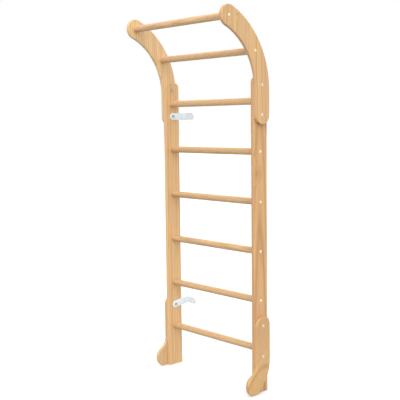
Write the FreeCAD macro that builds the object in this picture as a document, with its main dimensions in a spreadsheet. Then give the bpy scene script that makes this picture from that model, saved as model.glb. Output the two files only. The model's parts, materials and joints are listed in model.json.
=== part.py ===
"""Wall bars with forward-curving top arms: two uprights, six rungs between them, two bars held
between curved arms, two boot-shaped feet and four swivelling wall brackets. Millimetres, +Z up,
X across the ladder, +Y toward the wall. The origin is on the floor, at the middle of the whole."""
import FreeCAD, Part
import math
import os
import Sketcher

doc = FreeCAD.newDocument("wall_bars")

# ------------------------------------------------------------------ driving sizes
SIZES = {
    # boards
    "inner_width": 640,            # clear width between the uprights
    "upright_thickness": 21,
    "upright_width": 95,           # depth of the board, front to back
    "upright_headroom": 115,       # upright above the top ladder rung
    "upright_top_round": 24,       # rounding of the upright's two top corners
    "lap_thickness": 18,           # the arm and foot boards
    "board_edge_round": 3,         # all round each board, on both faces
    # rungs
    "ladder_rungs": 6,
    "lowest_rung_height": 225,
    "rung_pitch": 250,
    "rung_diameter": 35,
    "rung_end_chamfer": 1.5,
    "socket_depth": 6,             # how far a rung is let into its board
    "socket_clearance": 0.1,       # radial
    # arm, measured from the top ladder rung
    "arm_bend_rise": 52,           # where the arm starts to curve
    "top_bar_rise": 394,
    "top_bar_reach": 229,          # forward of the ladder rungs
    "second_bar_rise": 240,
    "arm_head_radius": 51,         # round end about the top bar
    "arm_bolt_above": 77,
    "arm_bolt_below": 68,
    # foot
    "foot_bolt_low_height": 188,
    "foot_bolt_high_height": 347,
    "toe_radius": 51,
    "toe_reach": 64,               # centre of the toe, forward of the ladder rungs
    "heel_height": 172,            # where the back edge starts to curve forward
    "instep_radius": 70,
    # rung screws and their caps
    "screw_diameter": 6,
    "screw_length": 60,
    "screw_tip_length": 6,
    "screw_tip_diameter": 1.5,
    "screw_head_diameter": 12,
    "screw_head_height": 3,
    "screw_clearance": 0.1,        # radial, in the boards and in the rungs
    "cap_diameter": 14,
    "cap_height": 2.4,
    # board bolts
    "bolt_diameter": 8,
    "bolt_length": 55,
    "short_bolt_length": 34,       # the lowest bolt, which ends inside the upright
    "short_bolt_gap": 1,           # left beyond its end
    "bolt_head_diameter": 18,
    "bolt_head_height": 4.2,
    "bolt_clearance": 0.1,         # radial, in the boards
    "thread_clearance": 0.05,      # radial, in nuts and washers
    "nut_across_flats": 13,
    "nut_height": 6.5,
    "washer_diameter": 17,
    "washer_thickness": 1.6,
    # wall brackets
    "bracket_thickness": 3,
    "bracket_width": 38,
    "bracket_reach": 90,           # from the pivot to the wall
    "flange_length": 76,
    "bend_radius": 3,              # inside the bend
    "pivot_clearance": 0.05,       # radial, bracket on its bolt
    "face_gap": 0.3,               # bracket to upright and bracket to washer
    "lower_bracket_tilt": 9,       # degrees above level
    "wall_hole_diameter": 7,
    "wall_hole_inset": 20,         # from the end of the flange
    "end_flat": 0.1,               # left between the corner rounds of a strip's end
}

sheet = doc.addObject("Spreadsheet::Sheet", "sizes")
for row, (alias, amount) in enumerate(SIZES.items(), start=1):
    sheet.set("A%d" % row, alias)
    sheet.set("B%d" % row, str(amount))
    sheet.setAlias("B%d" % row, alias)
doc.recompute()


class Size:
    """A size as a spreadsheet expression, with its present value beside it."""

    def __init__(self, text, number):
        self.text = text
        self.number = number

    def join(self, other, sign, result, swap=False):
        other = other if isinstance(other, Size) else Size(repr(other), other)
        first, second = (other, self) if swap else (self, other)
        text = "(%s %s %s)" % (first.text, sign, second.text)
        return Size(text, result(first.number, second.number))

    def __add__(self, other):
        return self.join(other, "+", lambda a, b: a + b)

    def __sub__(self, other):
        return self.join(other, "-", lambda a, b: a - b)

    def __mul__(self, other):
        return self.join(other, "*", lambda a, b: a * b)

    def __truediv__(self, other):
        return self.join(other, "/", lambda a, b: a / b)

    def __rsub__(self, other):
        return self.join(other, "-", lambda a, b: a - b, swap=True)

    def __rmul__(self, other):
        return self.join(other, "*", lambda a, b: a * b, swap=True)

    def __neg__(self):
        return 0 - self


def cell(alias):
    return Size("sizes." + alias, float(sheet.get(alias)))


def root(size):
    return Size("sqrt(%s)" % size.text, math.sqrt(size.number))


def sine(degrees):
    return Size("sin(%s * 1 deg)" % degrees.text, math.sin(math.radians(degrees.number)))


def cosine(degrees):
    return Size("cos(%s * 1 deg)" % degrees.text, math.cos(math.radians(degrees.number)))


ZERO = Size("0", 0.0)

# ------------------------------------------------------------------ places worked out from the sizes
inner_face = cell("inner_width") / 2
outer_face = inner_face + cell("upright_thickness")
half_depth = cell("upright_width") / 2
rung_radius = cell("rung_diameter") / 2
bolt_radius = cell("bolt_diameter") / 2
screw_radius = cell("screw_diameter") / 2

rung_count = int(SIZES["ladder_rungs"])
top_rung_height = cell("lowest_rung_height") + (cell("ladder_rungs") - 1) * cell("rung_pitch")
upright_height = top_rung_height + cell("upright_headroom")
bend_height = top_rung_height + cell("arm_bend_rise")
top_bar_height = top_rung_height + cell("top_bar_rise")
second_bar_height = top_rung_height + cell("second_bar_rise")
arm_bolt_high = top_rung_height + cell("arm_bolt_above")
arm_bolt_low = top_rung_height - cell("arm_bolt_below")
foot_bolt_high = cell("foot_bolt_high_height")
foot_bolt_low = cell("foot_bolt_low_height")

# The arm's middle line is an arc, upright at the bend and passing through the top bar.
top_bar_y = -cell("top_bar_reach")
arc_rise = top_bar_height - bend_height
reach_squared = cell("top_bar_reach") * cell("top_bar_reach")
arc_radius = (reach_squared + arc_rise * arc_rise) / (2 * cell("top_bar_reach"))
second_rise = second_bar_height - bend_height
second_bar_y = root(arc_radius * arc_radius - second_rise * second_rise) - arc_radius

# Depth of the whole, from the arm's head to the low corner of a tilted bracket.
front_reach = cell("top_bar_reach") + cell("arm_head_radius")
tilt = cell("lower_bracket_tilt")
back_reach = cell("bracket_reach") * cosine(tilt) + cell("bracket_width") / 2 * sine(tilt)
rung_line_y = (front_reach - back_reach) / 2

SIDES = {"left": -1, "right": 1}


# ------------------------------------------------------------------ small helpers
def bind(item, prop, size):
    item.setExpression(prop, size.text)


def place(item, x=ZERO, y=ZERO, z=ZERO, axis=None, angle=None):
    """Put an object at a point that follows the sheet, turned about a main axis if one is given."""
    if axis:
        item.Placement = FreeCAD.Placement(FreeCAD.Vector(), FreeCAD.Rotation(FreeCAD.Vector(*axis), 1))
        bind(item, "Placement.Rotation.Angle", angle)
    bind(item, "Placement.Base.x", x)
    bind(item, "Placement.Base.y", y)
    bind(item, "Placement.Base.z", z)


def new_body(label, x=ZERO, y=ZERO, z=ZERO, axis=None, angle=None):
    body = doc.addObject("PartDesign::Body", label)
    body.Label = label
    place(body, x, y, z, axis, angle)
    return body


def new_sketch(body, role, name, offset=ZERO):
    """A sketch on one of the body's own origin planes, moved along the plane's normal."""
    sketch = body.newObject("Sketcher::SketchObject", body.Label + "_" + name)
    plane = [item for item in body.Origin.OriginFeatures if item.Role == role][0]
    sketch.AttachmentSupport = [(plane, "")]
    sketch.MapMode = "FlatFace"
    bind(sketch, "AttachmentOffset.Base.z", offset)
    return sketch


def limit(sketch, kind, where, size):
    index = sketch.addConstraint(Sketcher.Constraint(kind, *where, size.number))
    sketch.setExpression("Constraints[%d]" % index, size.text)


def pin_point(sketch, geometry, point, x, y):
    """Hold a point of the sketch at x, y from its origin."""
    for kind, size in (("DistanceX", x), ("DistanceY", y)):
        where = (-1, 1, geometry, point)
        if size.number < 0:
            where = (geometry, point, -1, 1)
            size = -size
        if abs(size.number) < 1e-9:
            where = (geometry, point, -2 if kind == "DistanceX" else -1)
            sketch.addConstraint(Sketcher.Constraint("PointOnObject", *where))
        else:
            limit(sketch, kind, where, size)


def add_circle(sketch, x, y, radius):
    centre = FreeCAD.Vector(x.number, y.number, 0)
    index = sketch.addGeometry(Part.Circle(centre, FreeCAD.Vector(0, 0, 1), radius.number))
    limit(sketch, "Radius", (index,), radius)
    pin_point(sketch, index, 3, x, y)


def add_arc(sketch, x, y, radius, start, end):
    """An arc drawn anticlockwise from start to end, in degrees."""
    circle = Part.Circle(FreeCAD.Vector(x, y, 0), FreeCAD.Vector(0, 0, 1), radius)
    return sketch.addGeometry(Part.ArcOfCircle(circle, math.radians(start), math.radians(end)))


def add_line(sketch, x1, y1, x2, y2):
    return sketch.addGeometry(Part.LineSegment(FreeCAD.Vector(x1, y1, 0), FreeCAD.Vector(x2, y2, 0)))


def add_outline(sketch, points):
    """A closed outline of straight lines through points that follow the sheet."""
    count = len(points)
    lines = []
    for number, (x, y) in enumerate(points):
        next_x, next_y = points[(number + 1) % count]
        lines.append(add_line(sketch, x.number, y.number, next_x.number, next_y.number))
    for number, line in enumerate(lines):
        sketch.addConstraint(Sketcher.Constraint("Coincident", line, 2, lines[(number + 1) % count], 1))
        pin_point(sketch, line, 1, *points[number])


def add_tangent_chain(sketch, pieces):
    """Join (geometry, start point, end point) pieces into a smooth closed outline."""
    for piece, following in zip(pieces, pieces[1:] + pieces[:1]):
        sketch.addConstraint(Sketcher.Constraint("Tangent", piece[0], piece[2], following[0], following[1]))


def pad(body, sketch, length, back=False, middle=False):
    feature = body.newObject("PartDesign::Pad", sketch.Name + "_pad")
    feature.Profile = sketch
    feature.Reversed = back
    feature.Midplane = middle
    bind(feature, "Length", length)
    sketch.Visibility = False
    doc.recompute()
    return feature


def pocket(body, sketch, length=None, back=False):
    """Cut the sketch's outline to a depth, or right through both ways, and prove that it cut."""
    before = body.Shape.Volume
    feature = body.newObject("PartDesign::Pocket", sketch.Name + "_pocket")
    feature.Profile = sketch
    if length is None:
        feature.Type = "ThroughAll"
        feature.Midplane = True
    else:
        feature.Reversed = back
        bind(feature, "Length", length)
    sketch.Visibility = False
    doc.recompute()
    if body.Shape.Volume > before - 1:
        raise RuntimeError(feature.Name + " cut nothing")
    return feature


def round_edges(body, base, radius, wanted):
    """Round the edges of the base feature whose middle and direction at the start pass the test."""
    names = []
    for number, edge in enumerate(base.Shape.Edges, start=1):
        if wanted(edge.CenterOfMass, edge.tangentAt(edge.FirstParameter)):
            names.append("Edge%d" % number)
    feature = body.newObject("PartDesign::Fillet", base.Name + "_round")
    feature.Base = (base, names)
    bind(feature, "Radius", radius)
    doc.recompute()
    return feature


def near(value, target):
    return abs(value - target) < 0.01


def ease_outline(body, board):
    """Round a board's outline on both faces. Edges that lie on the floor stay sharp."""
    return round_edges(body, board, cell("board_edge_round"),
                       lambda middle, along: near(along.x, 0) and not near(middle.z, 0))


# ------------------------------------------------------------------ uprights
def make_upright(side):
    """Board on edge with a square foot and rounded top corners, a blind socket for each rung
    inside, a screw hole with a flat-bottomed seat outside, three bolt holes and a blind one."""
    sign = SIDES[side]
    body = new_body(side + "_upright", sign * inner_face, rung_line_y)
    left = sign < 0
    outline = new_sketch(body, "YZ_Plane", "outline")
    add_outline(outline, [(-half_depth, ZERO), (half_depth, ZERO),
                          (half_depth, upright_height), (-half_depth, upright_height)])
    board = pad(body, outline, cell("upright_thickness"), back=left)
    top = upright_height.number
    rounded = round_edges(body, board, cell("upright_top_round"),
                          lambda middle, along: near(middle.z, top) and near(abs(along.x), 1))
    ease_outline(body, rounded)

    socket = new_sketch(body, "YZ_Plane", "socket")
    add_circle(socket, ZERO, cell("lowest_rung_height"), rung_radius + cell("socket_clearance"))
    socket_cut = pocket(body, socket, cell("socket_depth"), back=not left)
    bore = new_sketch(body, "YZ_Plane", "screw_hole")
    add_circle(bore, ZERO, cell("lowest_rung_height"), screw_radius + cell("screw_clearance"))
    bore_cut = pocket(body, bore)
    seat = new_sketch(body, "YZ_Plane", "screw_seat", sign * cell("upright_thickness"))
    seat_radius = cell("screw_head_diameter") / 2 + cell("screw_clearance")
    add_circle(seat, ZERO, cell("lowest_rung_height"), seat_radius)
    seat_cut = pocket(body, seat, cell("screw_head_height"), back=left)

    row = body.newObject("PartDesign::LinearPattern", body.Label + "_rung_row")
    row.Originals = [socket_cut, bore_cut, seat_cut]
    row.Direction = (socket, ["V_Axis"])
    bind(row, "Length", (cell("ladder_rungs") - 1) * cell("rung_pitch"))
    bind(row, "Occurrences", cell("ladder_rungs"))
    body.Tip = row
    doc.recompute()

    holes = new_sketch(body, "YZ_Plane", "bolt_holes")
    for height in (foot_bolt_high, arm_bolt_low, arm_bolt_high):
        add_circle(holes, ZERO, height, bolt_radius + cell("bolt_clearance"))
    pocket(body, holes)
    blind = new_sketch(body, "YZ_Plane", "blind_bolt_hole", sign * cell("upright_thickness"))
    add_circle(blind, ZERO, foot_bolt_low, bolt_radius + cell("bolt_clearance"))
    depth = cell("short_bolt_length") + cell("short_bolt_gap") - cell("lap_thickness")
    pocket(body, blind, depth, back=left)
    return body


# ------------------------------------------------------------------ arms
def make_arm(side):
    """Flat board lapped on the upright's outer face: round lower end about the lower bolt, then
    straight, then curving forward to a round head about the top bar."""
    sign = SIDES[side]
    left = sign < 0
    body = new_body(side + "_arm", sign * outer_face, rung_line_y)
    outline = new_sketch(body, "YZ_Plane", "outline")
    half = half_depth.number
    head_y, head_z, head = top_bar_y.number, top_bar_height.number, cell("arm_head_radius").number
    low, bend = arm_bolt_low.number, bend_height.number
    rise = head_z - bend
    # Both edges leave the straight part upright and meet the head's circle smoothly.
    inner = ((head_y + half) ** 2 + rise ** 2 - head ** 2) / (2 * (head - head_y - half))
    outer = ((half - head_y) ** 2 + rise ** 2 - head ** 2) / (2 * (half - head_y - head))
    inner_end = math.degrees(math.atan2(rise, head_y + half + inner))
    outer_end = math.degrees(math.atan2(rise, head_y - half + outer))
    end = add_arc(outline, 0, low, half, 180, 360)
    back = add_line(outline, half, low, half, bend)
    back_curve = add_arc(outline, half - outer, bend, outer, 0, outer_end)
    crown = add_arc(outline, head_y, head_z, head, outer_end, inner_end + 180)
    front_curve = add_arc(outline, -half - inner, bend, inner, 0, inner_end)
    front = add_line(outline, -half, bend, -half, low)
    add_tangent_chain(outline, [(end, 1, 2), (back, 1, 2), (back_curve, 1, 2),
                                (crown, 1, 2), (front_curve, 2, 1), (front, 1, 2)])
    for line in (back, front):
        outline.addConstraint(Sketcher.Constraint("Vertical", line))
    pin_point(outline, end, 3, ZERO, arm_bolt_low)
    limit(outline, "Radius", (end,), half_depth)
    pin_point(outline, crown, 3, top_bar_y, top_bar_height)
    limit(outline, "Radius", (crown,), cell("arm_head_radius"))
    for curve in (back_curve, front_curve):
        limit(outline, "DistanceY", (-1, 1, curve, 3), bend_height)
    ease_outline(body, pad(body, outline, cell("lap_thickness"), back=left))

    bars = ((top_bar_y, top_bar_height), (second_bar_y, second_bar_height))
    sockets = new_sketch(body, "YZ_Plane", "sockets")
    bores = new_sketch(body, "YZ_Plane", "screw_holes")
    seats = new_sketch(body, "YZ_Plane", "screw_seats", sign * cell("lap_thickness"))
    for y, z in bars:
        add_circle(sockets, y, z, rung_radius + cell("socket_clearance"))
        add_circle(bores, y, z, screw_radius + cell("screw_clearance"))
        add_circle(seats, y, z, cell("screw_head_diameter") / 2 + cell("screw_clearance"))
    pocket(body, sockets, cell("socket_depth"), back=not left)
    pocket(body, bores)
    pocket(body, seats, cell("screw_head_height"), back=left)
    holes = new_sketch(body, "YZ_Plane", "bolt_holes")
    for height in (arm_bolt_low, arm_bolt_high):
        add_circle(holes, ZERO, height, bolt_radius + cell("bolt_clearance"))
    pocket(body, holes)
    return body


# ------------------------------------------------------------------ feet
def make_foot(side):
    """Boot-shaped board lapped on the upright's outer face: round top about the upper bolt, a heel
    that curves forward, and a round toe that stands on the floor."""
    sign = SIDES[side]
    body = new_body(side + "_foot", sign * outer_face, rung_line_y)
    outline = new_sketch(body, "YZ_Plane", "outline")
    half = half_depth.number
    toe, toe_y = cell("toe_radius").number, -cell("toe_reach").number
    heel_z, instep = cell("heel_height").number, cell("instep_radius").number
    top = foot_bolt_high.number
    # The heel curve is upright at the back edge and runs smoothly into the toe's circle.
    drop = heel_z - toe
    heel = ((half - toe_y) ** 2 + drop ** 2 - toe ** 2) / (2 * (half - toe_y - toe))
    instep_z = toe + math.sqrt((instep + toe) ** 2 - (instep + half + toe_y) ** 2)
    heel_end = math.degrees(math.atan2(-drop, toe_y - half + heel))
    instep_end = math.degrees(math.atan2(toe - instep_z, toe_y + half + instep))
    crown = add_arc(outline, 0, top, half, 0, 180)
    front = add_line(outline, -half, top, -half, instep_z)
    hollow = add_arc(outline, -half - instep, instep_z, instep, instep_end, 0)
    tip = add_arc(outline, toe_y, toe, toe, instep_end + 180, heel_end + 360)
    back_curve = add_arc(outline, half - heel, heel_z, heel, heel_end, 0)
    back = add_line(outline, half, heel_z, half, top)
    add_tangent_chain(outline, [(crown, 1, 2), (front, 1, 2), (hollow, 2, 1),
                                (tip, 1, 2), (back_curve, 1, 2), (back, 1, 2)])
    for line in (back, front):
        outline.addConstraint(Sketcher.Constraint("Vertical", line))
    pin_point(outline, crown, 3, ZERO, foot_bolt_high)
    limit(outline, "Radius", (crown,), half_depth)
    pin_point(outline, tip, 3, -cell("toe_reach"), cell("toe_radius"))
    limit(outline, "Radius", (tip,), cell("toe_radius"))
    limit(outline, "Radius", (hollow,), cell("instep_radius"))
    limit(outline, "DistanceY", (-1, 1, back_curve, 3), cell("heel_height"))
    ease_outline(body, pad(body, outline, cell("lap_thickness"), back=sign < 0))
    holes = new_sketch(body, "YZ_Plane", "bolt_holes")
    for height in (foot_bolt_low, foot_bolt_high):
        add_circle(holes, ZERO, height, bolt_radius + cell("bolt_clearance"))
    pocket(body, holes)
    return body


# ------------------------------------------------------------------ rungs and bars
def make_bar(label, half_gap, seat_floor, y, z):
    """Turned dowel with chamfered ends, let into a board at each end and bored for its screws.
    half_gap is from the middle to a board's inner face; seat_floor is the board left under an end."""
    body = new_body(label, y=rung_line_y + y, z=z)
    end = half_gap + cell("socket_depth")
    chamfer = cell("rung_end_chamfer")
    bore = screw_radius + cell("screw_clearance")
    screw_reach = cell("screw_length") - seat_floor + cell("screw_clearance")
    floor = end - screw_reach
    section = new_sketch(body, "XY_Plane", "section")
    lip = rung_radius - chamfer
    add_outline(section, [(-floor, ZERO), (-floor, bore), (-end, bore), (-end, lip),
                          (chamfer - end, rung_radius), (end - chamfer, rung_radius),
                          (end, lip), (end, bore), (floor, bore), (floor, ZERO)])
    turned = body.newObject("PartDesign::Revolution", label + "_turned")
    turned.Profile = section
    turned.ReferenceAxis = (section, ["H_Axis"])
    turned.Angle = 360
    section.Visibility = False
    doc.recompute()
    return body


# ------------------------------------------------------------------ wall brackets
def make_bracket(side, level, height, angle):
    """Strip bent square: one leg swivels on a board bolt, the other is the wall flange, which
    points toward the middle of the ladder. Both ends are round."""
    sign = -SIDES[side]
    pivot_x = sign * (cell("face_gap") - inner_face)
    body = new_body("%s_%s_bracket" % (side, level), pivot_x, rung_line_y, height, (1, 0, 0), angle)
    thick, width, reach = cell("bracket_thickness"), cell("bracket_width"), cell("bracket_reach")
    flange = cell("flange_length")
    section = new_sketch(body, "XY_Plane", "section")
    add_outline(section, [(ZERO, -(width / 2)), (sign * thick, -(width / 2)),
                          (sign * thick, reach - thick), (sign * flange, reach - thick),
                          (sign * flange, reach), (ZERO, reach)])
    strip = pad(body, section, width, middle=True)

    def is_corner(middle, along, x, y):
        return near(abs(along.z), 1) and near(middle.x, x.number) and near(middle.y, y.number)

    bend_in = round_edges(body, strip, cell("bend_radius"), lambda middle, along:
                          is_corner(middle, along, sign * thick, reach - thick))
    bend_out = round_edges(body, bend_in, cell("bend_radius") + thick, lambda middle, along:
                           is_corner(middle, along, ZERO, reach))
    # The round ends stop a hair short of a full half circle, which the fillet could not close.
    round_edges(body, bend_out, (width - cell("end_flat")) / 2, lambda middle, along:
                (near(middle.y, -width.number / 2) and near(abs(along.x), 1))
                or (near(middle.x, sign * flange.number) and near(abs(along.y), 1)))
    pivot = new_sketch(body, "YZ_Plane", "pivot_hole")
    add_circle(pivot, ZERO, ZERO, bolt_radius + cell("pivot_clearance"))
    pocket(body, pivot)
    wall_hole = new_sketch(body, "XZ_Plane", "wall_hole")
    add_circle(wall_hole, sign * (flange - cell("wall_hole_inset")), ZERO, cell("wall_hole_diameter") / 2)
    pocket(body, wall_hole)
    return body


# ------------------------------------------------------------------ fasteners
QUARTER = Size("90", 90.0)


def add_round(kind, name, radius, length, x, y, z, sign):
    """A cylinder lying along X from x toward the middle of the ladder, for the side given by sign."""
    item = doc.addObject(kind, name)
    bind(item, "Radius", radius)
    bind(item, "Height", length)
    place(item, x, rung_line_y + y, z, (0, -sign, 0), QUARTER)
    return item


def add_dome(name, radius, height, x, y, z, sign):
    """A shallow spherical dome that stands out from the face at x, away from the ladder."""
    ball = (radius * radius + height * height) / (2 * height)
    item = doc.addObject("Part::Sphere", name)
    bind(item, "Radius", ball)
    item.setExpression("Angle1", "asin(%s / %s)" % ((ball - height).text, ball.text))
    item.Angle2 = 90
    place(item, x - sign * (ball - height), rung_line_y + y, z, (0, sign, 0), QUARTER)
    return item


def join(name, pieces):
    item = doc.addObject("Part::MultiFuse", name)
    item.Shapes = pieces
    return item


def cut(name, solid, tool):
    item = doc.addObject("Part::Cut", name)
    item.Base = solid
    item.Tool = tool
    return item


def group(label, pieces):
    item = doc.addObject("Part::Compound", label)
    item.Label = label
    item.Links = pieces
    return item


def make_screw(name, x, y, z, sign):
    """Flat-headed wood screw: the head sinks into its seat in the face at x, the tip is a cone."""
    head_length = cell("screw_head_height")
    shank_length = cell("screw_length") - head_length - cell("screw_tip_length")
    shank_x = x - sign * head_length
    head = add_round("Part::Cylinder", name + "_head", cell("screw_head_diameter") / 2,
                     head_length, x, y, z, sign)
    shank = add_round("Part::Cylinder", name + "_shank", screw_radius,
                      shank_length, shank_x, y, z, sign)
    tip = doc.addObject("Part::Cone", name + "_tip")
    bind(tip, "Radius1", screw_radius)
    bind(tip, "Radius2", cell("screw_tip_diameter") / 2)
    bind(tip, "Height", cell("screw_tip_length"))
    place(tip, shank_x - sign * shank_length, rung_line_y + y, z, (0, -sign, 0), QUARTER)
    return join(name, [head, shank, tip])


def make_bolt(name, length, z, sign):
    """Round-headed bolt through the lapped board, into or through the upright."""
    face = sign * (outer_face + cell("lap_thickness"))
    head = add_dome(name + "_head", cell("bolt_head_diameter") / 2, cell("bolt_head_height"),
                    face, ZERO, z, sign)
    shank = add_round("Part::Cylinder", name + "_shank", bolt_radius, length, face, ZERO, z, sign)
    return join(name, [head, shank])


def make_washer(name, x, z, sign):
    disc = add_round("Part::Cylinder", name + "_disc", cell("washer_diameter") / 2,
                     cell("washer_thickness"), x, ZERO, z, sign)
    hole = add_round("Part::Cylinder", name + "_hole", bolt_radius + cell("thread_clearance"),
                     cell("washer_thickness"), x, ZERO, z, sign)
    return cut(name, disc, hole)


def make_nut(name, x, z, sign):
    block = doc.addObject("Part::Prism", name + "_block")
    block.Polygon = 6
    block.setExpression("Circumradius", "%s / 2 / cos(30 deg)" % cell("nut_across_flats").text)
    bind(block, "Height", cell("nut_height"))
    place(block, x, rung_line_y, z, (0, -sign, 0), QUARTER)
    hole = add_round("Part::Cylinder", name + "_hole", bolt_radius + cell("thread_clearance"),
                     cell("nut_height"), x, ZERO, z, sign)
    return cut(name, block, hole)


def make_fasteners(side):
    """The groups of one side: rung screws, their caps, board bolts, washers and nuts."""
    sign = SIDES[side]
    upright_face = sign * outer_face
    arm_face = sign * (outer_face + cell("lap_thickness"))
    places = [("top_bar", arm_face, top_bar_y, top_bar_height),
              ("second_bar", arm_face, second_bar_y, second_bar_height)]
    for number in range(rung_count):
        height = cell("lowest_rung_height") + number * cell("rung_pitch")
        places.append(("rung_%d" % (rung_count + 2 - number), upright_face, ZERO, height))
    screws = [make_screw("%s_%s_screw" % (side, name), x, y, z, sign) for name, x, y, z in places]
    # The lowest and the highest ladder rung's screws lie under the foot and the arm, with no cap.
    open_places = places[:2] + places[3:-1]
    cap_radius = cell("cap_diameter") / 2
    caps = [add_dome("%s_%s_cap" % (side, name), cap_radius, cell("cap_height"), x, y, z, sign)
            for name, x, y, z in open_places]

    # A nut tightens on the upright's inner face, or on a bracket where the bolt carries one.
    bracket_room = cell("bracket_thickness") + 2 * cell("face_gap")
    through_bolts = {"foot_high": (foot_bolt_high, inner_face - bracket_room),
                     "arm_low": (arm_bolt_low, inner_face - bracket_room),
                     "arm_high": (arm_bolt_high, inner_face)}
    rods, washers, nuts = {}, [], []
    for name, (height, washer_x) in through_bolts.items():
        rods[name] = make_bolt("%s_%s_bolt" % (side, name), cell("bolt_length"), height, sign)
        washers.append(make_washer("%s_%s_washer" % (side, name), sign * washer_x, height, sign))
        nut_x = sign * (washer_x - cell("washer_thickness"))
        nuts.append(make_nut("%s_%s_nut" % (side, name), nut_x, height, sign))
    short = make_bolt(side + "_foot_low_bolt", cell("short_bolt_length"), foot_bolt_low, sign)
    return [group(side + "_rung_screws", screws), group(side + "_screw_caps", caps),
            group(side + "_arm_bolts", [rods["arm_low"], rods["arm_high"]]),
            group(side + "_foot_bolts", [short, rods["foot_high"]]),
            group(side + "_bolt_washers", washers), group(side + "_bolt_nuts", nuts)]


# ------------------------------------------------------------------ the assembly
upright_floor = cell("upright_thickness") - cell("socket_depth")
arm_floor = cell("lap_thickness") - cell("socket_depth")
nodes = [make_bar("top_bar", outer_face, arm_floor, top_bar_y, top_bar_height),
         make_bar("second_bar", outer_face, arm_floor, second_bar_y, second_bar_height)]
for number in range(rung_count):
    label = "rung_%d" % (rung_count + 2 - number)
    height = cell("lowest_rung_height") + number * cell("rung_pitch")
    nodes.append(make_bar(label, inner_face, upright_floor, ZERO, height))
for side in SIDES:
    nodes += [make_upright(side), make_arm(side), make_foot(side)]
    nodes.append(make_bracket(side, "upper", arm_bolt_low, ZERO))
    nodes.append(make_bracket(side, "lower", foot_bolt_high, tilt))
    nodes += make_fasteners(side)
doc.recompute()

for item in doc.Objects:
    if "Invalid" in item.State or "Error" in item.State:
        raise RuntimeError("%s failed: %s" % (item.Name, item.State))
for node in nodes:
    if node.Shape.isNull() or not node.Shape.isValid():
        raise RuntimeError(node.Label + " has no valid shape")

os.makedirs("parts", exist_ok=True)
for node in nodes:
    node.Shape.exportStep("parts/%s.step" % node.Label)
    box = node.Shape.optimalBoundingBox(False, False)
    print("%-22s %2d solids %10.0f mm3  x %7.1f %7.1f  y %7.1f %7.1f  z %7.1f %7.1f" % (
        node.Label, len(node.Shape.Solids), node.Shape.Volume,
        box.XMin, box.XMax, box.YMin, box.YMax, box.ZMin, box.ZMax))
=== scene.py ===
"""Wall bars with curved top arms, dressed in pine, white powder coat and bright zinc.

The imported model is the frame. Boards, rungs, screws, caps and washers keep their shapes and take
a finish; bolts, nuts and brackets are modelled afresh in the places the frame gives."""
import json
import math

import bmesh
import bpy
from bpy.props import FloatProperty, FloatVectorProperty, PointerProperty
from bpy.types import Operator, Panel, PropertyGroup
from mathutils import Matrix, Vector

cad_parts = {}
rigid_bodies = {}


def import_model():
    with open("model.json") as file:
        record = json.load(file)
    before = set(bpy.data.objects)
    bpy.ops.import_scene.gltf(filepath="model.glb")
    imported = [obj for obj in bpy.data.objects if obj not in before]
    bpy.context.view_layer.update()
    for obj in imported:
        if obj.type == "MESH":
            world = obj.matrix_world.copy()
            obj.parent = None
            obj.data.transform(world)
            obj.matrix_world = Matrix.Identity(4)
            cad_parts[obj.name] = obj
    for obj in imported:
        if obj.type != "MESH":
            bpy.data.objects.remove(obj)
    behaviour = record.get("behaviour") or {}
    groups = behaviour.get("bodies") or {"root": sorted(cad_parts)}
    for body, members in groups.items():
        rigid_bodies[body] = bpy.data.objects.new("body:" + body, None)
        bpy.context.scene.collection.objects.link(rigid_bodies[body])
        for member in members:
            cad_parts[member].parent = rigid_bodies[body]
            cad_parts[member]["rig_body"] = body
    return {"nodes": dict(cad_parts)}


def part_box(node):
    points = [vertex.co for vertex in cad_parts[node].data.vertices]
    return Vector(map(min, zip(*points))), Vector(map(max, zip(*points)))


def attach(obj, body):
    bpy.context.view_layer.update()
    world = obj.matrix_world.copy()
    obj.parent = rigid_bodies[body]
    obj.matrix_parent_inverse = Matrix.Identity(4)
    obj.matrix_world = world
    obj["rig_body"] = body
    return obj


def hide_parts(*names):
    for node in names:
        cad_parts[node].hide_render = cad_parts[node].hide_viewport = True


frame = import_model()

bl_info = {
    "name": "Wall bars",
    "version": (1, 0, 0),
    "blender": (4, 5, 0),
    "location": "View3D > Sidebar > Wall bars",
    "description": "Wooden wall bars with curved arms, in pine, powder coat and zinc",
    "category": "Object",
}

MM = 0.001
SIDES = {"left": -1, "right": 1}
RUNGS = ("top_bar", "second_bar", "rung_3", "rung_4", "rung_5", "rung_6", "rung_7", "rung_8")
PALE_RUNGS = 3                    # the top ones, tinted paler and cooler than the lower rungs
BOLT_HEAD_RADIUS = 9 * MM
SOFTBOX_SPREAD = 70               # degrees
CAMERA_PLACE = (2.9276, -2.7100, 1.3742)
CAMERA_HEADING, CAMERA_TILT, CAMERA_ROLL = 47.23, 84.21, -0.67    # degrees
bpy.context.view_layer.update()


def linear(hex_colour):
    """An sRGB hex colour as linear RGBA."""
    channels = [int(hex_colour[place:place + 2], 16) / 255 for place in (0, 2, 4)]
    return [c / 12.92 if c <= 0.04045 else ((c + 0.055) / 1.055) ** 2.4 for c in channels] + [1.0]


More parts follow.
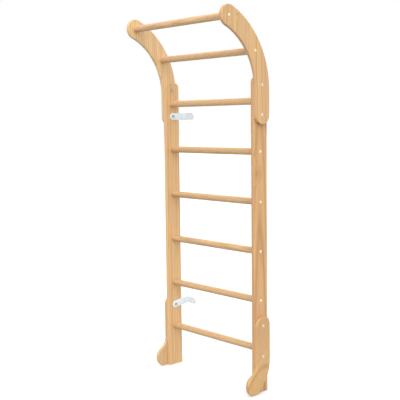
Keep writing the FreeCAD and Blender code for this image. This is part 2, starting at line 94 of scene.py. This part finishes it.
# ------------------------------------------------------------------ what a user would change
class PineLook(PropertyGroup):
    """Colour and figure of the planed pine."""
    early_wood: FloatVectorProperty(
        name="Early wood", description="Pale spring growth between the ring lines",
        subtype="COLOR", size=4, min=0, max=1, default=linear("DAB482"))
    late_wood: FloatVectorProperty(
        name="Late wood", description="Darker summer growth that draws the ring lines",
        subtype="COLOR", size=4, min=0, max=1, default=linear("AD7D4B"))
    knot_wood: FloatVectorProperty(
        name="Knot", description="Heart of a knot",
        subtype="COLOR", size=4, min=0, max=1, default=linear("9C6A3C"))
    rung_ring: FloatProperty(
        name="Ring width, rungs", description="Distance between growth rings in the turned bars",
        subtype="DISTANCE", unit="LENGTH", min=0.001, default=5 * MM)
    fibre: FloatProperty(
        name="Fibre width", description="Width of the fine streaks along the grain",
        subtype="DISTANCE", unit="LENGTH", min=0.0005, default=2.5 * MM)
    band: FloatProperty(
        name="Band width", description="Width of the straw yellow and rose bands along the grain",
        subtype="DISTANCE", unit="LENGTH", min=0.002, default=9 * MM)


class HardwareLook(PropertyGroup):
    """Sizes and colours of the metal and plastic parts."""
    coat: FloatVectorProperty(
        name="Bracket coat", description="Powder coat on the wall brackets",
        subtype="COLOR", size=4, min=0, max=1, default=linear("EDF7FF"))
    zinc: FloatVectorProperty(
        name="Zinc", description="Bright zinc plating on bolts, nuts, washers and screws",
        subtype="COLOR", size=4, min=0, max=1, default=linear("C6C1B8"))
    cap: FloatVectorProperty(
        name="Cap", description="Plastic of the screw caps",
        subtype="COLOR", size=4, min=0, max=1, default=linear("FFE9CE"))
    bracket_edge: FloatProperty(
        name="Bracket edge", description="Rounding of the brackets' edges",
        subtype="DISTANCE", unit="LENGTH", min=0, default=0.6 * MM)
    thread_pitch: FloatProperty(
        name="Thread pitch", description="Distance between the bolts' threads",
        subtype="DISTANCE", unit="LENGTH", min=0.0005, default=1.25 * MM)
    socket_width: FloatProperty(
        name="Socket width", description="Hexagon key socket, across its flats",
        subtype="DISTANCE", unit="LENGTH", min=0.001, default=5 * MM)


class StageLook(PropertyGroup):
    """Floor, light and camera."""
    floor: FloatVectorProperty(
        name="Floor", description="Colour of the plain floor",
        subtype="COLOR", size=4, min=0, max=1, default=linear("F2F2F2"))
    floor_size: FloatProperty(
        name="Floor size", description="Length of the floor's sides",
        subtype="DISTANCE", unit="LENGTH", min=1, default=120)
    sky: FloatProperty(
        name="Upper light", description="Strength of the even white light from above the horizon",
        min=0, default=0.92)
    ground: FloatProperty(
        name="Lower light", description="Strength of the even white light from below the horizon",
        min=0, default=0.38)
    top_light: FloatProperty(
        name="Top light", description="Strength of the soft light overhead",
        min=0, default=0.6)
    key_light: FloatProperty(
        name="Key light", description="Strength of the soft light from the front right",
        min=0, default=1.75)
    back_light: FloatProperty(
        name="Back light", description="Strength of the soft light from the back left",
        min=0, default=0.8)
    lens: FloatProperty(
        name="Lens", description="Focal length of the camera",
        subtype="DISTANCE_CAMERA", unit="CAMERA", min=10, default=69.09)


# ------------------------------------------------------------------ small helpers
def add_node(tree, kind, inputs=None, stops=None, **settings):
    """Add a shader node. settings are its own properties, inputs maps a socket to a value or to
    another node's output, and stops are the positions and colours of a colour ramp."""
    node = tree.nodes.new("ShaderNode" + kind)
    for name, value in settings.items():
        setattr(node, name, value)
    for socket, value in (inputs or {}).items():
        if isinstance(value, bpy.types.NodeSocket):
            tree.links.new(value, node.inputs[socket])
        else:
            node.inputs[socket].default_value = value
    for number, (position, colour) in enumerate(stops or ()):
        ramp = node.color_ramp.elements
        stop = ramp[number] if number < len(ramp) else ramp.new(position)
        stop.position = position
        stop.color = colour
    return node


def new_material(name):
    """An empty node material and its tree."""
    material = bpy.data.materials.new(name)
    material.use_nodes = True
    material.node_tree.nodes.clear()
    return material, material.node_tree


def finish_material(tree, shader):
    add_node(tree, "OutputMaterial", {"Surface": shader.outputs[0]})


def dress(item, material):
    """Give an object one material in every slot."""
    if not item.data.materials:
        item.data.materials.append(material)
    for number in range(len(item.data.materials)):
        item.data.materials[number] = material


def new_piece(name, mesh, node, material):
    """Make a mesh the visible piece that stands for a CAD node, on the node's own body."""
    piece = bpy.data.objects.new(name, mesh)
    bpy.context.scene.collection.objects.link(piece)
    dress(piece, material)
    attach(piece, frame["nodes"][node]["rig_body"])
    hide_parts(node)
    return piece


def eased_copy(name, node, width, material):
    """A copy of a CAD node with its sharp edges rounded by a small bevel."""
    shape = bmesh.new()
    shape.from_mesh(frame["nodes"][node].data)
    bmesh.ops.remove_doubles(shape, verts=shape.verts, dist=MM / 100)
    bmesh.ops.dissolve_limit(shape, angle_limit=math.radians(1), verts=shape.verts, edges=shape.edges)
    sharp = [edge for edge in shape.edges if edge.calc_face_angle(0) > math.radians(50)]
    bmesh.ops.bevel(shape, geom=sharp, offset=width, segments=3, profile=0.5, affect="EDGES",
                    clamp_overlap=True, material=-1)
    for face in shape.faces:
        face.smooth = True
    mesh = bpy.data.meshes.new(name)
    shape.to_mesh(mesh)
    shape.free()
    mesh.set_sharp_from_angle(angle=math.radians(40))
    return new_piece(name, mesh, node, material)


# ------------------------------------------------------------------ finishes
def planed_pine(name, look, pith, grain, ring, knots=(), tone=(1, 1, 1), twist=1.0, drawn=1.0,
                late=3 * MM, fleck=0.03):
    """Planed pine under a thin matt oil. Growth rings are shells about the tree's pith, so a board
    shows arches where the pith lies behind its face, stripes where it lies beside it, and arcs on
    its ends. Real rings are 2 to 6 mm wide; most are drawn coarser here, so that they show.

    pith is a point on the pith line, grain its direction and ring the distance between rings. A
    knot is a centre and a size. tone tints one board against its neighbours, twist makes the pith
    wander, drawn is how strongly the rings show, late is the width of their dark late wood, and a
    larger fleck gives shorter streaks."""
    material, tree = new_material(name)
    coords = add_node(tree, "TexCoord")
    turn = Vector(grain).to_track_quat("Z", "Y").to_euler()
    log = add_node(tree, "Mapping", {"Vector": coords.outputs["Object"], "Location": pith,
                                     "Rotation": turn}, vector_type="TEXTURE").outputs[0]

    # The pith wanders a few millimetres over every hand's length of trunk.
    slow = add_node(tree, "VectorMath", {0: log, 1: (1, 1, 0.16)}, operation="MULTIPLY").outputs[0]
    drift = add_node(tree, "TexNoise", {"Vector": slow, "Scale": 1 / (55 * MM), "Detail": 2.5,
                                        "Roughness": 0.55})
    centred = add_node(tree, "VectorMath", {0: drift.outputs["Color"], 1: (0.5, 0.5, 0.5)},
                       operation="SUBTRACT")
    reach = 11 * MM * twist
    bent = add_node(tree, "VectorMath", {0: centred.outputs[0], 1: (reach, reach, 0), 2: log},
                    operation="MULTIPLY_ADD")
    across = add_node(tree, "VectorMath", {0: bent.outputs[0], 1: (1, 1, 0)}, operation="MULTIPLY")
    radius = add_node(tree, "VectorMath", {0: across.outputs[0]}, operation="LENGTH")
    radius = radius.outputs["Value"]

    # A knot pushes the rings aside unevenly, and its heart is darker.
    heart = None
    for centre, size in knots:
        gap = add_node(tree, "VectorMath", {0: coords.outputs["Object"], 1: centre},
                       operation="SUBTRACT")
        oval = add_node(tree, "VectorMath", {0: gap.outputs[0], 1: (1, 1, 0.6)},
                        operation="MULTIPLY")
        away = add_node(tree, "VectorMath", {0: oval.outputs[0]}, operation="LENGTH")
        away = away.outputs["Value"]
        swirl = add_node(tree, "TexNoise", {"Vector": oval.outputs[0], "Scale": 1 / (9 * MM),
                                            "Detail": 1})
        uneven = add_node(tree, "MapRange", {"Value": swirl.outputs[0], "From Min": 0.3,
                                             "From Max": 0.7, "To Min": -0.4, "To Max": 1.6})
        swell = add_node(tree, "MapRange", {"Value": away, "From Min": 0, "From Max": 2.4 * size,
                                            "To Min": size, "To Max": 0},
                         interpolation_type="SMOOTHERSTEP")
        push = add_node(tree, "Math", {0: uneven.outputs[0], 1: swell.outputs[0], 2: radius},
                        operation="MULTIPLY_ADD")
        radius = push.outputs[0]
        dark = add_node(tree, "MapRange", {"Value": away, "From Min": 0, "From Max": size,
                                           "To Min": 0.3, "To Max": 0},
                        interpolation_type="SMOOTHSTEP").outputs[0]
        if heart is None:
            heart = dark
        else:
            heart = add_node(tree, "Math", {0: heart, 1: dark}, operation="MAXIMUM").outputs[0]

    # Each ring darkens over its last few millimetres and stops sharply; some summers were drier.
    rings = add_node(tree, "Math", {0: radius, 1: ring}, operation="DIVIDE").outputs[0]
    year = add_node(tree, "Math", {0: rings}, operation="FLOOR").outputs[0]
    season = add_node(tree, "Math", {0: rings}, operation="FRACT").outputs[0]
    summer = add_node(tree, "ValToRGB", {0: season}, stops=[
        (0.0, (0.45, 0.45, 0.45, 1)),
        (0.43 * late / ring, (0, 0, 0, 1)),
        (1 - late / ring, (0.2, 0.2, 0.2, 1)),
        (1 - 0.4 * late / ring, (1, 1, 1, 1)),
        (1.0, (0.45, 0.45, 0.45, 1))]).outputs[0]
    weather = add_node(tree, "TexWhiteNoise", {"W": year}, noise_dimensions="1D").outputs["Value"]
    depth = add_node(tree, "MapRange", {"Value": weather, "To Min": 0.45 * drawn,
                                        "To Max": drawn}).outputs[0]
    line = add_node(tree, "Math", {0: summer, 1: depth}, operation="MULTIPLY").outputs[0]
    grown = add_node(tree, "MixRGB", {0: line, 1: tuple(look.early_wood),
                                      2: tuple(look.late_wood)}).outputs[0]

    # Real fibres are a tenth of a millimetre wide; these streaks are drawn coarse enough to show.
    long = add_node(tree, "VectorMath", {0: log, 1: (1, 1, fleck)}, operation="MULTIPLY").outputs[0]
    fibre = add_node(tree, "TexNoise", {"Vector": long, "Scale": 1 / look.fibre, "Detail": 3,
                                        "Roughness": 0.6})
    streak = add_node(tree, "MapRange", {"Value": fibre.outputs[0], "From Min": 0.3,
                                         "From Max": 0.7, "To Min": 0.92, "To Max": 1.06}).outputs[0]
    # Planed pine is straw yellow and rose, in bands about a finger wide and from year to year.
    band = add_node(tree, "TexNoise", {"Vector": long, "Scale": 1 / look.band, "Detail": 1.5,
                                       "Roughness": 0.4})
    kind = add_node(tree, "TexNoise", {"W": rings, "Scale": 0.6, "Detail": 1.5},
                    noise_dimensions="1D")
    mixed = add_node(tree, "Math", {0: band.outputs[0], 1: kind.outputs[0]}, operation="ADD")
    warm = add_node(tree, "MapRange", {"Value": mixed.outputs[0], "From Min": 0.82,
                                       "From Max": 1.18}).outputs[0]
    straw, rose = ([share * part for share, part in zip(tint, tone)] + [1]
                   for tint in ((1.06, 1.07, 0.93), (0.96, 0.90, 0.95)))
    blush = add_node(tree, "MixRGB", {0: warm, 1: straw, 2: rose}).outputs[0]
    tinted = add_node(tree, "MixRGB", {0: 1.0, 1: grown, 2: blush}, blend_type="MULTIPLY").outputs[0]
    colour = add_node(tree, "VectorMath", {0: tinted, "Scale": streak}, operation="SCALE").outputs[0]
    if heart is not None:
        colour = add_node(tree, "MixRGB", {0: heart, 1: colour,
                                           2: tuple(look.knot_wood)}).outputs[0]

    # Ends of the fibres soak up more oil, so end grain is darker.
    normal = add_node(tree, "VectorMath", {0: coords.outputs["Normal"], 1: Vector(grain).normalized()},
                      operation="DOT_PRODUCT").outputs["Value"]
    facing = add_node(tree, "Math", {0: normal}, operation="ABSOLUTE").outputs[0]
    end = add_node(tree, "MapRange", {"Value": facing, "From Min": 0.55, "From Max": 1,
                                      "To Min": 1, "To Max": 0.86},
                   interpolation_type="SMOOTHSTEP").outputs[0]
    colour = add_node(tree, "VectorMath", {0: colour, "Scale": end}, operation="SCALE").outputs[0]

    sheen = add_node(tree, "MapRange", {"Value": line, "To Min": 0.56, "To Max": 0.44}).outputs[0]
    ridge = add_node(tree, "Math", {0: fibre.outputs[0], 1: 0.5, 2: line}, operation="MULTIPLY_ADD")
    relief = add_node(tree, "Bump", {"Height": ridge.outputs[0], "Strength": 0.25,
                                     "Distance": 0.25 * MM}).outputs[0]
    shader = add_node(tree, "BsdfPrincipled", {"Base Color": colour, "Roughness": sheen, "Normal": relief,
                                               "IOR": 1.5, "Coat Weight": 0.2, "Coat Roughness": 0.35})
    finish_material(tree, shader)
    return material


def powder_coated_steel(look):
    """Bent steel strip, powder coated and baked. The eye gets an even white with a faint orange
    peel that breaks up its highlights."""
    material, tree = new_material("powder_coated_steel")
    coords = add_node(tree, "TexCoord").outputs["Object"]
    # Orange peel is about a millimetre across; it is drawn at 2.5 mm so that it shows.
    peel = add_node(tree, "TexNoise", {"Vector": coords, "Scale": 1 / (2.5 * MM), "Detail": 2}).outputs[0]
    cloud = add_node(tree, "TexNoise", {"Vector": coords, "Scale": 1 / (25 * MM), "Detail": 2}).outputs[0]
    shade = add_node(tree, "MapRange", {"Value": cloud, "To Min": 0.95, "To Max": 1.03}).outputs[0]
    colour = add_node(tree, "VectorMath", {0: tuple(look.coat)[:3], "Scale": shade},
                      operation="SCALE").outputs[0]
    gloss = add_node(tree, "MapRange", {"Value": peel, "To Min": 0.3, "To Max": 0.48}).outputs[0]
    relief = add_node(tree, "Bump", {"Height": peel, "Strength": 0.3, "Distance": 0.08 * MM}).outputs[0]
    shader = add_node(tree, "BsdfPrincipled", {"Base Color": colour, "Roughness": gloss, "Normal": relief})
    finish_material(tree, shader)
    return material


def bright_zinc(name, look, grit, low, high):
    """Bright zinc plate on steel: cool grey metal, a little uneven, with soft reflections."""
    material, tree = new_material(name)
    coords = add_node(tree, "TexCoord").outputs["Object"]
    grain = add_node(tree, "TexNoise", {"Vector": coords, "Scale": 1 / grit, "Detail": 3}).outputs[0]
    shade = add_node(tree, "MapRange", {"Value": grain, "To Min": 0.82, "To Max": 1.1}).outputs[0]
    colour = add_node(tree, "VectorMath", {0: tuple(look.zinc)[:3], "Scale": shade},
                      operation="SCALE").outputs[0]
    rough = add_node(tree, "MapRange", {"Value": grain, "To Min": low, "To Max": high}).outputs[0]
    shader = add_node(tree, "BsdfPrincipled", {"Base Color": colour, "Roughness": rough, "Metallic": 1.0})
    finish_material(tree, shader)
    return material


def moulded_polypropylene(look):
    """Moulded polypropylene screw cap: creamy, slightly translucent white with a soft gloss."""
    material, tree = new_material("moulded_polypropylene")
    coords = add_node(tree, "TexCoord").outputs["Object"]
    flow = add_node(tree, "TexNoise", {"Vector": coords, "Scale": 1 / (4 * MM), "Detail": 2}).outputs[0]
    shade = add_node(tree, "MapRange", {"Value": flow, "To Min": 0.96, "To Max": 1.03}).outputs[0]
    colour = add_node(tree, "VectorMath", {0: tuple(look.cap)[:3], "Scale": shade},
                      operation="SCALE").outputs[0]
    gloss = add_node(tree, "MapRange", {"Value": flow, "To Min": 0.22, "To Max": 0.34}).outputs[0]
    shader = add_node(tree, "BsdfPrincipled", {"Base Color": colour, "Roughness": gloss, "IOR": 1.49,
                                               "Subsurface Weight": 0.1,
                                               "Subsurface Radius": (2 * MM, 2 * MM, MM)})
    finish_material(tree, shader)
    return material


# ------------------------------------------------------------------ boards and rungs
# Each board's place in its tree: a point on the pith and the pith's direction, in metres, and the
# distance between growth rings. The rest is the board's own character, as planed_pine takes it.
# The right foot is cut almost flat to its rings, so that a single ring line arches over its toe.
BOARD_GRAIN = {
    "left_upright": {"pith": (-0.470, -0.014, 0.8), "grain": (0.002, 0.006, 1), "ring": 11 * MM,
                     "twist": 0.7, "drawn": 0.55, "tone": (1.06, 1.05, 1.05)},
    "right_upright": {"pith": (0.1802, 0.088, 0.867), "grain": (-0.0105, 0.0, 1), "ring": 6 * MM,
                      "twist": 0.25, "drawn": 1.1, "tone": (0.97, 0.89, 0.85),
                      "knots": (((0.341, 0.066, 1.117), 0.020), ((0.341, 0.052, 1.211), 0.010))},
    "left_arm": {"pith": (-0.500, 0.260, 1.6), "grain": (0.01, -0.02, 1), "ring": 12 * MM,
                 "twist": 0.7, "drawn": 0.7, "tone": (1.14, 1.21, 1.33)},
    "right_arm": {"pith": (0.215, -0.020, 1.6), "grain": (-0.012, 0.01, 1), "ring": 18 * MM,
                  "twist": 0.6, "drawn": 0.8, "tone": (1.01, 0.98, 1.0),
                  "knots": (((0.359, -0.085, 1.878), 0.010), ((0.359, -0.125, 1.822), 0.008))},
    "left_foot": {"pith": (-0.420, -0.130, 0.2), "grain": (0.0, 0.012, 1), "ring": 12 * MM,
                  "twist": 0.7, "drawn": 0.8, "tone": (1.0, 1.05, 1.13)},
    "right_foot": {"pith": (0.1523, 0.115, 0.140), "grain": (-0.3, 0.2, 1), "ring": 100 * MM,
                   "twist": 0.5, "late": 8 * MM, "tone": (0.93, 0.90, 0.80),
                   "knots": (((0.359, 0.076, 0.352), 0.010),)},
}


class WALLBARS_OT_boards(Operator):
    """Finish the uprights, the curved arms and the feet in planed pine."""
    bl_idname = "wallbars.boards"
    bl_label = "Boards"

    def execute(self, context):
        look = context.scene.wallbars_pine
        for name, character in BOARD_GRAIN.items():
            dress(frame["nodes"][name], planed_pine("planed_pine_" + name, look, **character))
        return {"FINISHED"}


class WALLBARS_OT_rungs(Operator):
    """Finish the turned rungs and the two top bars in pine."""
    bl_idname = "wallbars.rungs"
    bl_label = "Rungs"

    def execute(self, context):
        look = context.scene.wallbars_pine
        for number, name in enumerate(RUNGS):
            low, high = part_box(name)
            middle = (low + high) / 2
            # Each rung comes from another side of its tree, with the pith outside the turned wood.
            angle = math.radians(137.5 * number)
            offset = 26 * MM
            pith = (middle.x, middle.y + offset * math.cos(angle), middle.z + offset * math.sin(angle))
            grain = (1, 0.02 * math.cos(2 * angle), 0.02 * math.sin(2 * angle))
            tone = (1.01, 1.04, 1.13) if number < PALE_RUNGS else (0.91, 0.92, 0.96)
            material = planed_pine("turned_pine_" + name, look, pith, grain, look.rung_ring,
                                   tone=tone, twist=0.8, drawn=0.55, fleck=0.3)
            dress(frame["nodes"][name], material)
        return {"FINISHED"}


# ------------------------------------------------------------------ metal and plastic
class WALLBARS_OT_brackets(Operator):
    """Make the four wall brackets, with rounded edges under their powder coat."""
    bl_idname = "wallbars.brackets"
    bl_label = "Wall brackets"

    def execute(self, context):
        look = context.scene.wallbars_hardware
        coat = powder_coated_steel(look)
        for side in SIDES:
            for level in ("upper", "lower"):
                node = "%s_%s_bracket" % (side, level)
                eased_copy(node + "_strip", node, look.bracket_edge, coat)
        return {"FINISHED"}


def spun(shape, profile, centre, steps=36):
    """Spin a profile of (along, out) points about a line through centre parallel to X."""
    verts = [shape.verts.new(centre + Vector((along, 0, out))) for along, out in profile]
    edges = [shape.edges.new(pair) for pair in zip(verts, verts[1:])]
    bmesh.ops.spin(shape, geom=verts + edges, cent=centre, axis=(1, 0, 0), angle=math.tau, steps=steps,
                   use_merge=True)


def threaded_rod(shape, centre, start, length, radius, pitch, steps=24):
    """Wind a ridge round a core to make an outside thread, running along X from start."""
    depth = 0.6 * pitch
    turns = abs(length) / pitch - 1
    step = math.copysign(pitch, length) / steps
    root = radius - depth
    corners = [(0, root - depth / 4), (pitch * 0.4, radius), (pitch * 0.8, root - depth / 4)]
    first = centre + Vector((start, 0, 0))
    verts = [shape.verts.new(first + Vector((math.copysign(along, length), 0, out)))
             for along, out in corners]
    edges = [shape.edges.new((verts[number], verts[(number + 1) % 3])) for number in range(3)]
    shape.faces.new(verts)
    grown = bmesh.ops.spin(shape, geom=verts + edges, cent=centre, axis=(1, 0, 0), dvec=(step, 0, 0),
                           angle=math.tau * turns, steps=int(steps * turns))
    last = [item for item in grown["geom_last"] if isinstance(item, bmesh.types.BMVert)]
    shape.faces.new(last)
    spun(shape, [(start, 0), (start, root), (start + length, root), (start + length, 0)], centre, steps)


def socket_bolt(shape, centre, sign, length, look):
    """A round-headed bolt whose head lies at centre, with a hexagon socket and a threaded end."""
    head, rise, shank = BOLT_HEAD_RADIUS, 4.2 * MM, 4 * MM
    ball = (head * head + rise * rise) / (2 * rise)
    widest = math.asin(head / ball)
    brim = look.socket_width * 0.62
    narrowest = math.asin(brim / ball)
    arc = [widest + (narrowest - widest) * part / 8 for part in range(9)]
    dome = [(sign * (ball * math.cos(turn) - ball + rise), ball * math.sin(turn)) for turn in arc]
    thread = 22 * MM
    plain = length - thread
    spun(shape, [(-sign * plain, 0), (-sign * plain, shank), (0, shank)] + dome, centre)
    rim = [edge for edge in shape.edges if edge.is_boundary and all(
        abs((vert.co - centre).yz.length - brim) < MM / 100 for vert in edge.verts)]
    cut_socket(shape, rim, centre, sign, look.socket_width / 2)
    threaded_rod(shape, centre, -sign * plain, -sign * thread, shank, look.thread_pitch)


def cut_socket(shape, rim, centre, sign, flat):
    """Draw the rim of a round opening in to a hexagon and sink it into the head."""
    for depth, shaped in ((0.0, True), (2.6 * MM, False)):
        grown = bmesh.ops.extrude_edge_only(shape, edges=rim)["geom"]
        rim = [item for item in grown if isinstance(item, bmesh.types.BMEdge)]
        for vert in {vert for edge in rim for vert in edge.verts}:
            out = (vert.co - centre).yz
            if shaped:
                bearing = math.atan2(out.y, out.x) % (math.pi / 3) - math.pi / 6
                out = out.normalized() * (flat / math.cos(bearing))
                vert.co.y, vert.co.z = centre.y + out.x, centre.z + out.y
            vert.co.x -= sign * depth
        rim = [edge for edge in rim if edge.is_boundary]
    bmesh.ops.holes_fill(shape, edges=rim, sides=0)


# The lower and the upper bolt of each board. The lowest one ends inside the upright.
BOLT_LENGTHS = {"arm": (55 * MM, 55 * MM), "foot": (34 * MM, 55 * MM)}


class WALLBARS_OT_bolts(Operator):
    """Make the eight board bolts, with their socket heads and threads."""
    bl_idname = "wallbars.bolts"
    bl_label = "Board bolts"

    def execute(self, context):
        look = context.scene.wallbars_hardware
        zinc = bright_zinc("zinc_plated_steel_bolt", look, 3 * MM, 0.25, 0.42)
        for side, sign in SIDES.items():
            for board in ("arm", "foot"):
                node = "%s_%s_bolts" % (side, board)
                low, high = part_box(node)
                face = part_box("%s_%s" % (side, board))[1 if sign > 0 else 0].x
                heights = (low.z + BOLT_HEAD_RADIUS, high.z - BOLT_HEAD_RADIUS)
                shape = bmesh.new()
                for height, length in zip(heights, BOLT_LENGTHS[board]):
                    socket_bolt(shape, Vector((face, (low.y + high.y) / 2, height)), sign, length, look)
                bmesh.ops.remove_doubles(shape, verts=shape.verts, dist=MM / 1000)
                bmesh.ops.recalc_face_normals(shape, faces=shape.faces)
                for item in shape.faces:
                    item.smooth = True
                mesh = bpy.data.meshes.new(node + "_threaded")
                shape.to_mesh(mesh)
                shape.free()
                mesh.set_sharp_from_angle(angle=math.radians(35))
                new_piece(node + "_threaded", mesh, node, zinc)
        return {"FINISHED"}


class WALLBARS_OT_nuts(Operator):
    """Make the nuts with chamfered corners and finish the washers."""
    bl_idname = "wallbars.nuts"
    bl_label = "Nuts and washers"

    def execute(self, context):
        look = context.scene.wallbars_hardware
        zinc = bright_zinc("zinc_plated_steel_nut", look, 2 * MM, 0.3, 0.5)
        for side in SIDES:
            node = side + "_bolt_nuts"
            eased_copy(node + "_chamfered", node, 0.7 * MM, zinc)
            dress(frame["nodes"][side + "_bolt_washers"], zinc)
        return {"FINISHED"}


class WALLBARS_OT_screws(Operator):
    """Finish the rung screws and their plastic caps."""
    bl_idname = "wallbars.screws"
    bl_label = "Screws and caps"

    def execute(self, context):
        look = context.scene.wallbars_hardware
        zinc = bright_zinc("zinc_plated_steel_screw", look, 2 * MM, 0.3, 0.45)
        plastic = moulded_polypropylene(look)
        for side in SIDES:
            dress(frame["nodes"][side + "_rung_screws"], zinc)
            dress(frame["nodes"][side + "_screw_caps"], plastic)
        return {"FINISHED"}


# ------------------------------------------------------------------ floor, light and camera
def add_light(name, strength, source):
    """A distant light as wide as a studio softbox, shining from the source direction."""
    lamp = bpy.data.lights.new(name, "SUN")
    lamp.energy = strength
    lamp.angle = math.radians(SOFTBOX_SPREAD)
    item = bpy.data.objects.new(name, lamp)
    item.rotation_euler = Vector(source).to_track_quat("Z", "Y").to_euler()
    bpy.context.scene.collection.objects.link(item)


class WALLBARS_OT_stage(Operator):
    """Set the pale floor, the soft studio light and the camera."""
    bl_idname = "wallbars.stage"
    bl_label = "Stage"

    def execute(self, context):
        look = context.scene.wallbars_stage
        scene = context.scene
        scene.view_settings.view_transform = "Standard"

        shape = bmesh.new()
        bmesh.ops.create_grid(shape, x_segments=1, y_segments=1, size=look.floor_size / 2)
        mesh = bpy.data.meshes.new("floor")
        shape.to_mesh(mesh)
        shape.free()
        floor = bpy.data.objects.new("floor", mesh)
        floor.location.z = -0.5 * MM
        scene.collection.objects.link(floor)
        material, tree = new_material("matt_painted_floor")
        finish_material(tree, add_node(tree, "BsdfDiffuse", {"Color": tuple(look.floor)}))
        dress(floor, material)
        # The floor throws no light back, so that the undersides stay in shade.
        floor.visible_diffuse = False

        scene.world = bpy.data.worlds.new("studio")
        scene.world.use_nodes = True
        tree = scene.world.node_tree
        tree.nodes.clear()
        coords = add_node(tree, "TexCoord").outputs["Generated"]
        height = add_node(tree, "SeparateXYZ", {0: coords}).outputs["Z"]
        level = add_node(tree, "MapRange", {"Value": height, "From Min": -0.35, "From Max": 0.35,
                                            "To Min": look.ground, "To Max": look.sky}).outputs[0]
        sky = add_node(tree, "Background", {"Color": (1, 1, 1, 1), "Strength": level})
        paper = add_node(tree, "Background", {"Color": (1, 1, 1, 1), "Strength": 1})
        ray = add_node(tree, "LightPath").outputs
        # The camera and reflections see white paper; only the soft shading sees the graded sky.
        seen = add_node(tree, "Math", {0: ray["Is Camera Ray"], 1: ray["Is Glossy Ray"]},
                        operation="MAXIMUM").outputs[0]
        studio = add_node(tree, "MixShader", {0: seen, 1: sky.outputs[0], 2: paper.outputs[0]})
        add_node(tree, "OutputWorld", {"Surface": studio.outputs[0]})
        add_light("top_light", look.top_light, (0.15, -0.25, 1))
        add_light("key_light", look.key_light, (0.7, -0.7, 0.6))
        add_light("back_light", look.back_light, (-0.6, 0.8, 0.3))

        camera = bpy.data.cameras.new("camera")
        camera.sensor_width = 36
        camera.lens = look.lens
        item = bpy.data.objects.new("camera", camera)
        heading = Matrix.Rotation(math.radians(CAMERA_HEADING), 4, "Z")
        tilt = Matrix.Rotation(math.radians(CAMERA_TILT), 4, "X")
        roll = Matrix.Rotation(math.radians(CAMERA_ROLL), 4, "Z")
        item.matrix_world = Matrix.Translation(CAMERA_PLACE) @ heading @ tilt @ roll
        scene.collection.objects.link(item)
        scene.camera = item
        return {"FINISHED"}


class WALLBARS_PT_sidebar(Panel):
    """The wall bars' looks and the buttons that make them."""
    bl_label = "Wall bars"
    bl_space_type = "VIEW_3D"
    bl_region_type = "UI"
    bl_category = "Wall bars"

    def draw(self, context):
        for place in GROUPS:
            group = getattr(context.scene, place)
            box = self.layout.box()
            for name in group.__annotations__:
                box.prop(group, name)
        for operator in OPERATORS:
            self.layout.operator(operator.bl_idname)


GROUPS = {"wallbars_pine": PineLook, "wallbars_hardware": HardwareLook, "wallbars_stage": StageLook}
OPERATORS = (WALLBARS_OT_boards, WALLBARS_OT_rungs, WALLBARS_OT_brackets, WALLBARS_OT_bolts,
             WALLBARS_OT_nuts, WALLBARS_OT_screws, WALLBARS_OT_stage)


def register():
    for item in (*GROUPS.values(), *OPERATORS, WALLBARS_PT_sidebar):
        bpy.utils.register_class(item)
    for name, group in GROUPS.items():
        setattr(bpy.types.Scene, name, PointerProperty(type=group))


def unregister():
    for name in GROUPS:
        delattr(bpy.types.Scene, name)
    for item in (WALLBARS_PT_sidebar, *reversed(OPERATORS), *reversed(tuple(GROUPS.values()))):
        bpy.utils.unregister_class(item)


def main():
    register()
    bpy.ops.wallbars.boards()
    bpy.ops.wallbars.rungs()
    bpy.ops.wallbars.brackets()
    bpy.ops.wallbars.bolts()
    bpy.ops.wallbars.nuts()
    bpy.ops.wallbars.screws()
    bpy.ops.wallbars.stage()


if __name__ == "__main__":
    main()
